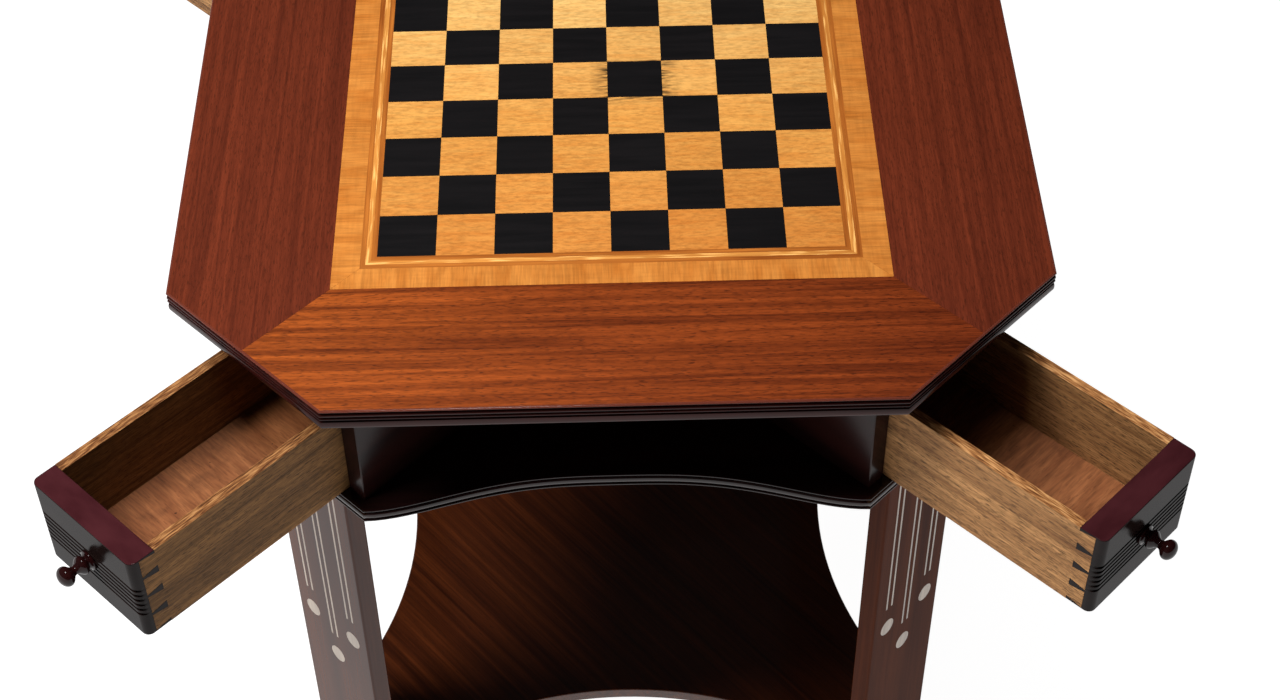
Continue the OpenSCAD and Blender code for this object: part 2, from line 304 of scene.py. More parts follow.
class Tree:
    """A material's node tree, with short calls for what the woods here need."""

    def __init__(self, name):
        self.material = bpy.data.materials.new(name)
        self.material.use_nodes = True
        self.nodes = self.material.node_tree.nodes
        self.links = self.material.node_tree.links
        self.shader = self.nodes["Principled BSDF"]
        self.piece_offset = 0.0

    def vary_by_piece(self):
        """Starts the noises at another place on each piece, so that no two boards are alike."""
        info = self.add("ShaderNodeObjectInfo")
        self.piece_offset = self.calc("MULTIPLY", info.outputs["Random"], 40.0)

    def put(self, socket, value):
        """Links a socket, or sets a plain value."""
        if isinstance(value, bpy.types.NodeSocket):
            self.links.new(value, socket)
        else:
            socket.default_value = value

    def add(self, kind, inputs=(), **settings):
        """A new node; inputs are (socket name or number, value or socket) pairs."""
        made = self.nodes.new(kind)
        for key, value in settings.items():
            setattr(made, key, value)
        for key, value in inputs:
            self.put(made.inputs[key], value)
        return made

    def calc(self, operation, a, b=0.0):
        """A Math node's result."""
        return self.add("ShaderNodeMath", [(0, a), (1, b)], operation=operation).outputs[0]

    def axis(self, vector, name):
        """The X, Y or Z of a vector."""
        return self.add("ShaderNodeSeparateXYZ", [(0, vector)]).outputs[name]

    def ramp(self, value, stops):
        """A colour ramp; stops are (place, colour or grey)."""
        made = self.add("ShaderNodeValToRGB", [("Fac", value)])
        elements = made.color_ramp.elements
        while len(elements) < len(stops):
            elements.new(0.5)
        for element, (place, colour) in zip(elements, stops):
            element.position = place
            element.color = colour if isinstance(colour, tuple) else (colour, colour, colour, 1)
        return made.outputs["Color"]

    def mix(self, factor, a, b, blend="MIX"):
        """Two colours blended."""
        made = self.add("ShaderNodeMix", data_type="RGBA", blend_type=blend)
        self.put(made.inputs[0], factor)
        self.put(made.inputs[6], a)
        self.put(made.inputs[7], b)
        return made.outputs[2]

    def coords(self, mitred):
        """Object coordinates; on a mitred frame x follows the nearest side of the frame."""
        object_coords = self.add("ShaderNodeTexCoord").outputs["Object"]
        if not mitred:
            return object_coords
        x, y, z = (self.axis(object_coords, name) for name in "XYZ")
        sideways = self.calc("GREATER_THAN", self.calc("ABSOLUTE", x), self.calc("ABSOLUTE", y))
        along = self.add("ShaderNodeMix", [(0, sideways), (2, x), (3, y)]).outputs[0]
        across = self.add("ShaderNodeMix", [(0, sideways), (2, y), (3, x)]).outputs[0]
        return self.add("ShaderNodeCombineXYZ", [(0, along), (1, across), (2, z)]).outputs[0]

    def noise(self, coords, grain, angle, along, across, detail=2.0, distortion=0.0, seed=0.0):
        """Noise stretched along the grain; along and across are the size of its features."""
        size = [across] * 3
        size["xyz".index(grain)] = along
        turn = (0, 0, math.radians(angle))
        shift = (seed, seed * 0.7, seed * 0.3)
        mapped = self.add("ShaderNodeMapping",
                          [("Vector", coords), ("Rotation", turn), ("Scale", size), ("Location", shift)],
                          vector_type="TEXTURE")
        made = self.add("ShaderNodeTexNoise",
                        [("Vector", mapped.outputs[0]), ("W", self.piece_offset), ("Scale", 1.0),
                         ("Detail", detail), ("Distortion", distortion)],
                        noise_dimensions="4D")
        return made.outputs[0]


# feature sizes that all the woods share, as (along, across) the grain, and heights of their relief
CLOUD = (0.16, 0.09)
RIPPLE = (0.0024, 0.022)
WAVES = (0.05, 0.012)
FIBRE_RELIEF = 0.0003
POLISH_RELIEF = 0.0004


def wood(name, dark, light, grain="x", angle=0.0, ribbon=(0.45, 0.013), contrast=(0.36, 0.66),
         fibre=(0.03, 0.0010), fibre_depth=0.35, pores=0.5, pore=(0.006, 0.0005), pore_cut=(0.62, 0.72),
         pore_colour=(0.02, 0.008, 0.005, 1), ripple=0.0, rough=(0.28, 0.42), coat=0.5, coat_rough=0.06,
         waviness=0.0, bump=0.12, mitred=False, blotch=0.25, warp=0.5, shine=0.3, extra=None):
    """A wood with ribbon figure, fibres, open pores, optional ripple, and a polish over it.

    dark and light are the ends of its figure. ribbon, fibre and pore are feature sizes along and
    across the grain, and grain is the axis that it runs along, turned by angle about Z. blotch,
    fibre_depth, pores and ripple say how strongly each shows. extra, if given, is called with the
    tree, the coordinates and the colour, and gives the new colour.
    """
    t = Tree(name)
    t.vary_by_piece()
    coords = t.coords(mitred)

    figure = t.noise(coords, grain, angle, *ribbon, detail=3.0, distortion=warp)
    threads = t.noise(coords, grain, angle, *fibre, detail=2.5, seed=3.1)
    pits = t.noise(coords, grain, angle, *pore, detail=1.0, seed=7.7)
    cloud = t.noise(coords, grain, angle, *CLOUD, seed=1.3)

    colour = t.ramp(figure, [(contrast[0], dark), (contrast[1], light)])
    colour = t.mix(blotch, colour, t.ramp(cloud, [(0.3, 0.55), (0.7, 1.0)]), "MULTIPLY")
    colour = t.mix(fibre_depth, colour, t.ramp(threads, [(0.32, 0.35), (0.6, 1.0)]), "MULTIPLY")
    if ripple:
        crosswise = "y" if grain == "x" else "x"
        bands = t.noise(coords, crosswise, angle, RIPPLE[1], RIPPLE[0], detail=1.0, seed=5.9)
        colour = t.mix(ripple, colour, t.ramp(bands, [(0.35, 0.55), (0.6, 1.0)]), "MULTIPLY")
    holes = t.ramp(pits, [(pore_cut[0], 0.0), (pore_cut[1], 1.0)])
    colour = t.mix(t.calc("MULTIPLY", holes, pores), colour, pore_colour)
    if extra:
        colour = extra(t, coords, colour)

    spread = t.calc("MULTIPLY_ADD", cloud, rough[1] - rough[0])
    spread.node.inputs[2].default_value = rough[0]
    height = t.calc("SUBTRACT", t.calc("MULTIPLY", threads, 0.4), holes)
    relief = t.add("ShaderNodeBump", [("Strength", bump), ("Distance", FIBRE_RELIEF), ("Height", height)])
    s = t.shader.inputs
    s["Specular IOR Level"].default_value = shine
    t.put(s["Base Color"], colour)
    t.put(s["Roughness"], spread)
    t.put(s["Normal"], relief.outputs[0])
    s["Coat Weight"].default_value = coat
    s["Coat Roughness"].default_value = coat_rough
    if waviness:
        swell = t.noise(coords, grain, angle, *WAVES, detail=1.0, seed=9.2)
        waves = t.add("ShaderNodeBump",
                      [("Strength", waviness), ("Distance", POLISH_RELIEF), ("Height", swell)])
        t.put(s["Coat Normal"], waves.outputs[0])
    return t.material


def chess_variation(t, coords, colour):
    """Light squares: each has its own tone, painted shade darkens them towards the front, and one is
    stained.
    """
    colour = own_tones(t, coords, colour)
    colour = painted_shade_forwards(t, coords, colour)
    return stained(t, coords, colour)


def own_tones(t, coords, colour):
    """Gives each square its own tone."""
    cell = t.add("ShaderNodeVectorMath", [(0, coords), (1, (SQUARE_W, SQUARE_W, 1.0))], operation="DIVIDE")
    corner = t.add("ShaderNodeVectorMath", [(0, cell.outputs[0])], operation="FLOOR")
    tone = t.add("ShaderNodeTexWhiteNoise", [("Vector", corner.outputs[0])], noise_dimensions="2D")
    shade = t.ramp(tone.outputs[0], [(0.0, (0.90, 0.84, 0.76, 1)), (1.0, (1.0, 1.0, 1.0, 1))])
    return t.mix(1.0, colour, shade, "MULTIPLY")


def painted_shade_forwards(t, coords, colour):
    """Darker and more orange towards the front: painted shade, for the brighter light on the back of the
    board.
    """
    board_w = 8 * SQUARE_W
    from_front = t.calc("DIVIDE", t.calc("ADD", t.axis(coords, "Y"), board_w / 2), board_w)
    # painted shade: darker and more orange towards the front of the board
    shade = t.ramp(from_front, [(0.0, (0.76, 0.49, 0.30, 1)), (0.43, (0.84, 0.64, 0.43, 1)),
                                (0.9, (1.0, 1.0, 1.0, 1))])
    return t.mix(1.0, colour, shade, "MULTIPLY")


def stained(t, coords, colour):
    """Black stain has bled from the square whose lowest corner is the middle of the board."""
    middle = SQUARE_W / 2
    side_reach, down_reach, soft_edge = 0.014, 0.010, 0.004
    x, y = t.axis(coords, "X"), t.axis(coords, "Y")
    aside = t.calc("SUBTRACT", t.calc("ABSOLUTE", t.calc("SUBTRACT", x, middle)), middle)
    above = t.calc("SUBTRACT", t.calc("ABSOLUTE", t.calc("SUBTRACT", y, middle)), middle)
    near_side = t.ramp(t.calc("DIVIDE", aside, side_reach), [(0.0, 1.0), (1.0, 0.0)])
    in_row = t.ramp(t.calc("DIVIDE", above, soft_edge), [(0.0, 1.0), (0.5, 0.0)])
    near_edge = t.ramp(t.calc("DIVIDE", above, down_reach), [(0.0, 0.8), (1.0, 0.0)])
    in_column = t.ramp(t.calc("DIVIDE", aside, soft_edge), [(0.0, 1.0), (0.5, 0.0)])
    below = t.calc("LESS_THAN", y, middle)
    sideways = t.calc("MULTIPLY", near_side, in_row)
    downwards = t.calc("MULTIPLY", t.calc("MULTIPLY", near_edge, in_column), below)
    smear = t.noise(coords, "x", 0, 0.012, 0.0018, detail=3.0, seed=2.2)
    soaked = t.calc("MULTIPLY", t.calc("MAXIMUM", sideways, downwards),
                    t.ramp(smear, [(0.40, 0.0), (0.62, 1.0)]))
    return t.mix(soaked, colour, srgb(45, 38, 25))


def flecked_tops(dark, middle, light):
    """Drawer linings: the upward faces of the top edges have their own three tones, in streaks and flecks:
    the oak's flecked figure, and a tone set apart from the sides as painted light from above.
    """
    def flecks_and_light(t, coords, colour):
        flecks = t.noise(coords, "x", 0, 0.010, 0.0009, detail=3.0, seed=4.4)
        # upward faces: the oak's flecks, in a tone set apart from the sides as painted light
        return t.mix(upward(t), colour, t.ramp(flecks, [(0.36, dark), (0.50, middle), (0.66, light)]))
    return flecks_and_light


def painted_lit_top(t, coords, colour):
    """Drawer fronts: the near-black ground is painted shade that keeps the faces and flutes dark, and the
    upward faces at the upper edge are painted a lit red.
    """
    cloud = t.noise(coords, "y", 0, 0.03, 0.012, detail=4.0, seed=2.9)
    # painted light: the lit red for the upward faces at the upper edge
    red = t.ramp(cloud, [(0.35, srgb(54, 21, 25)), (0.65, srgb(68, 30, 34))])
    edge_h = 0.002
    at_top = t.calc("GREATER_THAN", t.axis(coords, "Z"), DRAWER_TOP - edge_h)
    return t.mix(t.calc("MULTIPLY", upward(t), at_top), colour, red)


def veneer_and_highlight_arris(t, coords, colour):
    """The upper arris of the moulded edge is painted a pinkish mahogany: partly the fields' veneer running
    on to it, partly a painted highlight along the arris.
    """
    arris_h = 0.0011
    on_arris = t.calc("GREATER_THAN", t.axis(coords, "Z"), TABLE_H - arris_h)
    # the fields' mahogany on the arris, with a painted highlight along it
    return t.mix(on_arris, colour, srgb(96, 46, 34))


def upward(t):
    """1 on faces that look up, 0 on the others."""
    normal = t.add("ShaderNodeNewGeometry").outputs["Normal"]
    return t.ramp(t.axis(normal, "Z"), [(0.55, 0.0), (0.85, 1.0)])


def ink_marks(t, coords, colour):
    """Drawer bottoms: dark scuffs and a few ink spots."""
    scuffs = t.noise(coords, "x", 0, 0.03, 0.018, detail=4.0, seed=6.1)
    spots = t.noise(coords, "x", 0, 0.004, 0.003, detail=1.0, seed=8.8)
    colour = t.mix(t.ramp(scuffs, [(0.58, 0.0), (0.72, 0.45)]), colour, srgb(70, 40, 26))
    return t.mix(t.ramp(spots, [(0.74, 0.0), (0.78, 0.8)]), colour, srgb(40, 22, 15))


def painted_shade_rightwards(t, coords, colour):
    """Front and back fields: darker towards the right, painted shade for the light falling off away from the
    left.
    """
    across = t.calc("ADD", t.calc("DIVIDE", t.axis(coords, "X"), 2 * TOP_HALF), 0.5)
    # painted shade: the tone falls from left to right
    tone = t.ramp(across, [(0.15, (1.0, 1.0, 1.0, 1)), (0.45, (0.71, 0.63, 0.71, 1)),
                           (0.72, (0.67, 0.57, 0.68, 1)), (0.90, (0.48, 0.37, 0.55, 1))])
    return t.mix(1.0, colour, tone, "MULTIPLY")


def figure_and_sheen_streaks(t, coords, colour):
    """The pale string's figure in short bright lengths: partly the wood's own tone, partly painted sheen
    where figured wood flashes.
    """
    flashes = t.noise(coords, "x", 0, 0.022, 0.0016, detail=1.0, seed=3.6)
    # bright lengths: the figure's tone with painted sheen
    return t.mix(t.ramp(flashes, [(0.52, 0.0), (0.66, 0.8)]), colour, srgb(250, 192, 112))


# dark reddish brown under a thick gloss, which everything but the top and the linings starts from
GLOSS = dict(dark=srgb(38, 17, 14), light=srgb(66, 31, 26), pores=0.25, fibre_depth=0.3,
             rough=(0.22, 0.34), coat=0.4, coat_rough=0.06, waviness=0.2, bump=0.05, shine=0.0)


def field_woods():
    """Mahogany veneers: figured ones at the front and back, and plainer ones at the sides."""
    field = dict(dark=srgb(109, 47, 17), light=srgb(183, 90, 33), contrast=(0.30, 0.70), pores=0.65,
                 fibre=(0.010, 0.0010), fibre_depth=0.52, ribbon=(0.30, 0.006), pore=(0.005, 0.0007),
                 pore_cut=(0.56, 0.68), pore_colour=srgb(58, 24, 12),
                 rough=(0.30, 0.42), coat=0.2, coat_rough=0.12, warp=1.2)
    side_field = dict(field, dark=srgb(88, 35, 20), light=srgb(116, 49, 28), fibre=(0.014, 0.0010),
                      fibre_depth=0.4, pores=0.55)
    return {
        "field_x": wood("mahogany_field_x", extra=painted_shade_rightwards, **field),
        "field_y": wood("mahogany_field_y", grain="y", **side_field),
    }


def inlay_woods():
    """The chessboard, its strings and the crossbanding round them."""
    frame_wood = dict(rough=(0.3, 0.42), coat=0.25, coat_rough=0.12, mitred=True)
    string = dict(frame_wood, ribbon=(0.12, 0.004), fibre_depth=0.35, pores=0.15)
    return {
        "satinwood": wood("satinwood_cross", srgb(190, 110, 40), srgb(220, 142, 64), grain="y",
                          contrast=(0.3, 0.7), ribbon=(0.05, 0.012), fibre=(0.02, 0.0014),
                          fibre_depth=0.36, pores=0.1, pore_colour=srgb(120, 70, 30), ripple=0.2,
                          **frame_wood),
        "amber": wood("amber_string", srgb(150, 78, 26), srgb(190, 112, 44), **string),
        "pale": wood("pale_string", srgb(192, 116, 46), srgb(220, 146, 68), extra=figure_and_sheen_streaks, **string),
        "maple": wood("maple_squares", srgb(234, 174, 96), srgb(252, 208, 130), contrast=(0.25, 0.75),
                      ribbon=(0.03, 0.004), fibre=(0.005, 0.0016), fibre_depth=0.42, pores=0.25,
                      pore=(0.003, 0.0010), pore_colour=srgb(160, 92, 36), rough=(0.32, 0.44), coat=0.2,
                      coat_rough=0.14, warp=1.0, extra=chess_variation),
        "ebonised": wood("ebonised_squares", srgb(16, 15, 16), srgb(22, 20, 21), ribbon=(0.08, 0.006),
                         pores=0.2, fibre_depth=0.2, rough=(0.34, 0.48), coat=0.12, coat_rough=0.16,
                         shine=0.2),
    }


def carcase_woods():
    """The moulded edge, the deck, the partitions and the rails."""
    moulding = dict(GLOSS, dark=srgb(36, 13, 11), light=srgb(62, 23, 19), coat_rough=0.10, waviness=0.1)
    deck = dict(GLOSS, dark=srgb(24, 11, 10), light=srgb(42, 20, 18), coat=0.8)
    # the partitions' ground is darker than the gloss: painted shade for the recess between the drawers
    carcase = dict(GLOSS, dark=srgb(24, 10, 9), light=srgb(42, 18, 15), coat_rough=0.22)
    rail = dict(GLOSS, dark=srgb(44, 18, 14), light=srgb(70, 30, 22), grain="y")
    return {
        "moulding": wood("moulded_edge", extra=veneer_and_highlight_arris, **moulding),
        "deck": wood("deck_gloss", **deck),
        "carcase": wood("carcase_gloss", **carcase),
        "rail": wood("rail_gloss", **rail),
        "raw": wood("raw_mahogany", srgb(110, 66, 40), srgb(150, 96, 60), rough=(0.55, 0.7), coat=0.0),
    }


def stand_woods():
    """The legs, whose right pair gets a duller copy of the gloss as painted shade in its reflection, their
    inlay and the undertier.
    """
    leg = dict(GLOSS, dark=srgb(66, 28, 12), light=srgb(90, 43, 21), grain="z", waviness=0.15, coat=0.50)
    # painted shade: a duller copy of the leg gloss for the right legs' reflection
    shaded_leg = dict(leg, coat=0.12, coat_rough=0.2)
    return {
        "leg": wood("leg_gloss", **leg),
        "shaded_leg": wood("leg_shaded", **shaded_leg),
        "inlay": wood("leg_inlay", srgb(162, 141, 122), srgb(192, 172, 152), grain="z", ribbon=(0.1, 0.004),
                      fibre_depth=0.2, pores=0.15, rough=(0.3, 0.4), coat=0.4, coat_rough=0.06),
        "undertier": wood("undertier_mahogany", angle=-50, dark=srgb(62, 26, 12), light=srgb(104, 50, 22),
                          contrast=(0.32, 0.72), ribbon=(0.4, 0.005), fibre=(0.04, 0.0010), pores=0.6,
                          fibre_depth=0.55, rough=(0.28, 0.42), coat=0.3, coat_rough=0.1),
    }


def drawer_woods():
    """The polished drawer fronts and knobs, and the raw linings, with a lighter copy of the oak on two of
    the drawers as painted light.
    """
    # the near-black ground of the fronts is painted shade; their upper edge's upward faces are painted a lit
    # red
    front = dict(GLOSS, dark=srgb(20, 13, 12), light=srgb(30, 20, 18), grain="y", ribbon=(0.2, 0.02),
                 waviness=0.1, coat=0.26, coat_rough=0.15)
    knob = dict(GLOSS, dark=srgb(20, 6, 7), light=srgb(38, 12, 12), coat=0.6, coat_rough=0.03)
    oak = dict(dark=srgb(104, 73, 43), light=srgb(164, 118, 71), contrast=(0.30, 0.70),
               ribbon=(0.20, 0.005), fibre=(0.013, 0.0008), fibre_depth=0.76, pores=0.80,
               pore=(0.005, 0.0006), pore_cut=(0.54, 0.66), pore_colour=srgb(70, 48, 30),
               rough=(0.55, 0.75), coat=0.0, bump=0.5, blotch=0.3, shine=0.12)
    # painted light: a lighter copy of the oak, with lighter top edges, for the fr and bl drawers
    lit_oak = dict(oak, dark=srgb(138, 94, 58), light=srgb(206, 152, 98))
    dull_tops = flecked_tops(srgb(76, 44, 26), srgb(130, 84, 48), srgb(178, 128, 80))
    lit_tops = flecked_tops(srgb(96, 56, 30), srgb(166, 112, 66), srgb(214, 162, 106))
    return {
        "front": wood("front_gloss", extra=painted_lit_top, **front),
        "knob": wood("knob_gloss", **knob),
        "oak": wood("drawer_oak", extra=dull_tops, **oak),
        "lit_oak": wood("drawer_lit_oak", extra=lit_tops, **lit_oak),
        "lining_back": wood("drawer_back_oak", extra=dull_tops, grain="y", **oak),
        "bottom": wood("drawer_bottom_wood", grain="y", dark=srgb(120, 69, 41), light=srgb(166, 106, 66),
                       contrast=(0.28, 0.72), ribbon=(0.06, 0.008), fibre=(0.012, 0.0012), fibre_depth=0.5,
                       pores=0.5, pore=(0.005, 0.0008), pore_colour=srgb(84, 44, 26), rough=(0.5, 0.7),
                       coat=0.0, bump=0.3, warp=1.2, extra=ink_marks),
    }


def aged_brass():
    """Screws: brass dulled in patches."""
    t = Tree("screw_brass")
    cloud = t.noise(t.coords(False), "z", 0, 0.003, 0.002, detail=3.0)
    tarnish = t.ramp(cloud, [(0.35, srgb(120, 84, 40)), (0.65, srgb(200, 160, 88))])
    t.put(t.shader.inputs["Base Color"], tarnish)
    t.put(t.shader.inputs["Roughness"], t.ramp(cloud, [(0.3, 0.5), (0.7, 0.25)]))
    t.shader.inputs["Metallic"].default_value = 1.0
    return t.material


# every material of the table, by name
WOODS = {**field_woods(), **inlay_woods(), **carcase_woods(), **stand_woods(), **drawer_woods(),
         "brass": aged_brass()}

# ---------------------------------------------------------------- top


def paint(node, wood_name):
    """Gives a CAD node its material."""
    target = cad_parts[node]
    target.data.materials.clear()
    target.data.materials.append(WOODS[wood_name])


def make_top():
    """The solid top with a reeded edge, its lipping level with the veneers that lie inside it.

    From the underside up: a fascia, a wide quirk, a reed, a fine groove, a reed, a quirk and the nose.
    """
    runs = [(0.0054, 0.0005, 0.0004), (0.0019, 0.0008, -0.0028), (0.0020, 0.0011, 0.0011),
            (0.0007, 0.0013, -0.0014), (0.0029, 0.0015, 0.0015), (0.0017, 0.0016, -0.0020)]
    arris, arris_steps = 0.0012, 5
    nose_low = TOP_UNDER + sum(height for height, inset, depth in runs)
    nose = rounding(nose_low, TABLE_H, arris, arris_steps, (TABLE_H - nose_low) / 2)
    rebate = [(LIPPING_W, TABLE_H), (LIPPING_W, TABLE_H - VENEER_T)]
    profile = [(arris, TOP_UNDER)] + beads(TOP_UNDER + 0.0001, runs) + nose + rebate
    outline = canted_square(TOP_HALF, TOP_CUT)
    made = solid("moulded_top_board", loft(outline, profile))
    piece(made, "table", WOODS["moulding"], ["top_board"], sharp=50)


def make_fields():
    """Four mitred mahogany veneers between the satinwood and the lipping."""
    rim = TOP_HALF - LIPPING_W
    cut_half = rim - (TOP_CUT - LIPPING_W * (2 - ROOT2))
    mitre = (rim + cut_half) / 2
    outline = [(-SATIN_HALF, -SATIN_HALF), (-mitre, -mitre), (-cut_half, -rim),
               (cut_half, -rim), (mitre, -mitre), (SATIN_HALF, -SATIN_HALF)]
    for side, angle in FIELDS.items():
        shape = loft(turned(outline, angle), rounding(TABLE_H - VENEER_T, TABLE_H, 0.00012, 2))
        grain = "field_x" if side in ("front", "back") else "field_y"
        piece(solid("veneer_field_" + side, shape), "table", WOODS[grain],
              ["mahogany_" + side])


def dress_inlay():
    """The chessboard, its strings and the crossbanding keep their CAD shapes."""
    paint("satinwood_border", "satinwood")
    paint("amber_strings", "amber")
    paint("light_string", "pale")
    paint("light_squares", "maple")
    paint("dark_squares", "ebonised")


# ---------------------------------------------------------------- carcase and stand


def make_deck():
    """The serpentine deck, with a thin bead, a broad bead and a thin bead round its edge."""
    thin_h, groove_h = 0.0022, 0.0010
    broad_h = DECK_TOP - DECK_UNDER - 2 * (thin_h + groove_h)
    thin, groove, broad = (thin_h, 0.0016, 0.0012), (groove_h, 0.0014, -0.0020), (broad_h, 0.0012, 0.0012)
    hair = 0.00001
    moulding = beads(DECK_UNDER + hair, [thin, groove, broad, groove, thin])
    set_back = 0.0030
    profile = [(set_back, DECK_UNDER)] + moulding[:-1] + [(set_back, DECK_TOP)]
    made = solid("serpentine_deck", loft(four_sided(serpentine_side()), profile))
    piece(made, "table", WOODS["deck"], ["deck"], sharp=50)


def make_partitions():
    """Four long boards on the diagonals, halved into each other where they cross."""
    middle = (DECK_TOP + TOP_UNDER) / 2
    over = 0.01
    lower, upper = (DECK_TOP - over, middle), (middle, TOP_UNDER + over)
    crossing = CHANNEL_HALF + PARTITION_T / 2
    for name, angle, side, slot in (("a1", 45, -1, lower), ("a2", 45, 1, lower),
                                    ("b1", 135, -1, upper), ("b2", 135, 1, upper)):
        inner, outer = sorted((side * CHANNEL_HALF, side * CROSS_FACE))
        outline = rectangle(-PARTITION_END, inner, PARTITION_END, outer, 0.0009, 3)
        board = solid("partition_board_" + name, loft(outline, rounding(DECK_TOP, TOP_UNDER, 0.0002, 2)))
        cut(board, [loft(rectangle(x - PARTITION_T / 2, inner - over, x + PARTITION_T / 2, outer + over),
                         [(0, z) for z in slot]) for x in (crossing, -crossing)])
        board.rotation_euler.z = math.radians(angle)
        piece(board, "table", WOODS["carcase"], ["partition_" + name])


def make_rail(corner):
    """The rail above a drawer."""
    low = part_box("drawer_rail_" + corner)[0].z
    outline = rectangle(PARTITION_END - FRONT_T, -CHANNEL_HALF, PARTITION_END, CHANNEL_HALF, 0.0006, 3)
    made = solid("rail_" + corner, loft(outline, rounding(low, TOP_UNDER, 0.0006)))
    piece(made, "table", WOODS["rail"], ["drawer_rail_" + corner], corner)


def make_leg(corner):
    """A flat panel leg with softened arrises; the right legs get a duller gloss, painted shade in their
    reflection.
    """
    outline = rectangle(LEG_OUT - LEG_T, -LEG_W / 2, LEG_OUT, LEG_W / 2, 0.0018, 4)
    made = solid("panel_leg_" + corner, loft(outline, rounding(0, DECK_UNDER, 0.001)))
    # the right legs take the duller copy, painted shade in their reflection
    polish = "leg" if corner in ("fl", "bl") else "shaded_leg"
    piece(made, "table", WOODS[polish], ["leg_" + corner], corner)


def make_leg_inlay(corner):
    """Three pairs of lines, each over an oval, let into the outer face of a leg."""
    line_w, line_pitch, line_start = 0.0018, 0.0061, 0.0012
    pair_pitch, middle_l, outer_l = 0.0232, 0.215, 0.175
    oval_drop, oval_half_w, oval_half_h = 0.025, 0.0075, 0.0085
    # the inlay is drawn with x across the leg and y up, and its thickness stands out of the face
    place = Matrix.Translation((LEG_OUT, 0, DECK_UNDER)) @ Matrix(((0, 0, 1, 0), (1, 0, 0, 0), (0, 1, 0, 0),
                                                                   (0, 0, 0, 1)))
    depth = [(0, -0.0008), (0, 0.00002), (0.0002, 0.00006)]
    parts = []
    for pair in (-1, 0, 1):
        centre, length = pair * pair_pitch, outer_l if pair else middle_l
        for side in (-1, 1):
            x = centre + side * line_pitch / 2
            parts.append(loft(rectangle(x - line_w / 2, -length, x + line_w / 2, -line_start), depth, place))
        oval = [(centre + oval_half_w * math.cos(a), -length - oval_drop + oval_half_h * math.sin(a))
                for a in (2 * math.pi * i / 48 for i in range(48))]
        parts.append(loft(oval, depth, place))
    piece(solid("leg_lines_" + corner, joined(parts)), "table", WOODS["inlay"],
          ["leg_inlay_" + corner], corner)


def make_undertier():
    """The shelf with hollow sides, whose four ends are let into the legs."""
    outline = four_sided(hollow_side())
    made = solid("hollow_sided_undertier", loft(outline, rounding(TIER_UNDER, TIER_TOP, 0.0015, 4)))
    piece(made, "table", WOODS["undertier"], ["undertier"])


def make_screws():
    """Slotted countersunk screws: two up through each rail, two up through the deck at each corner."""
    # (outwards, across, height of the head, length)
    in_rail = (PARTITION_END - FRONT_T / 2, 0.028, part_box("drawer_rail_br")[0].z, 0.036)
    in_deck = (0.150, CHANNEL_HALF + PARTITION_T / 2, DECK_UNDER, 0.034)
    slot_half_l, slot_half_w, slot_depth, clear = 0.006, 0.0005, 0.0012, 0.001
    slot = rectangle(-slot_half_l, -slot_half_w, slot_half_l, slot_half_w)
    parts, slots = [], []
    for angle in CORNERS.values():
        for side in (-1, 1):
            for x, y, z, length in (in_rail, in_deck):
                place = Matrix.Rotation(math.radians(angle), 4, "Z") @ Matrix.Translation((x, side * y, z))
                parts.append(screw_shape(length, place))
                # each screw stops at its own angle
                turn = Matrix.Rotation(math.radians(37 * len(parts)), 4, "Z")
                slots.append(loft(slot, [(0, -clear), (0, slot_depth)], place @ turn))
    made = cut(solid("slotted_screws", joined(parts)), [joined(slots)])
    piece(made, "table", WOODS["brass"], ["frame_screws"])


def screw_shape(length, place):
    """A countersunk screw, head down, with a plain shank and a point."""
    head_r, head_h, shank_r, edge, point = 0.0043, 0.003, 0.0019, 0.0004, 0.002
    profile = [(0, 0.0001), (head_r - edge, 0.0001), (head_r, 0.0001 + edge), (shank_r, head_h),
               (shank_r, length), (0, length + point)]
    return lathe(profile, place, 24)


# ---------------------------------------------------------------- drawers


def tail_shapes(clearance, overhang):
    """The tails on a side, as outlines of (distance outwards, height) at the drawer's front."""
    pitch = DRAWER_H / TAILS
    flare = (PIN_ROOT - PIN_TIP) / 2
    root, tip = FACE_X - FRONT_T, FACE_X - FRONT_LAP + clearance
    shapes = []
    for i in range(TAILS):
        low = DRAWER_LOW + i * pitch + PIN_ROOT / 2 - clearance
        high = DRAWER_LOW + (i + 1) * pitch - PIN_ROOT / 2 + clearance
        shapes.append([(root - overhang, low), (root, low), (tip, low - flare), (tip, high + flare),
                       (root, high), (root - overhang, high)])
    return shapes


def upright(side_y):
    """Stands an outline of (outwards, height) up at side_y, thickening across. It mirrors the outline."""
    return Matrix(((1, 0, 0, 0), (0, 0, 1, side_y), (0, 1, 0, 0), (0, 0, 0, 1)))


def bottom_groove(x0, x1):
    """The space between x0 and x1 that the drawer bottom is let into."""
    half = DRAWER_W / 2 - SIDE_T + GROOVE_D
    high = DRAWER_LOW + BOTTOM_RISE
    return loft(rectangle(x0, -half, x1, half), [(0, high - BOTTOM_T), (0, high)])


def flutes(weights):
    """Profile of the sunk flutes between the reeds; weights fade them out round the rounded ends."""
    band_low, band_high = 0.27 * DRAWER_H, 0.66 * DRAWER_H
    pitch = (band_high - band_low) / REEDS
    width, depth, steps = 0.50 * pitch, 0.0022, 6
    band = []
    for reed in range(REEDS):
        low = DRAWER_LOW + band_low + reed * pitch + (pitch - width) / 2
        for i in range(steps + 1):
            u = 2 * i / steps - 1
            sunk = depth * (1 - u ** 4)
            band.append(([w * sunk for w in weights], low + width * i / steps))
    return band


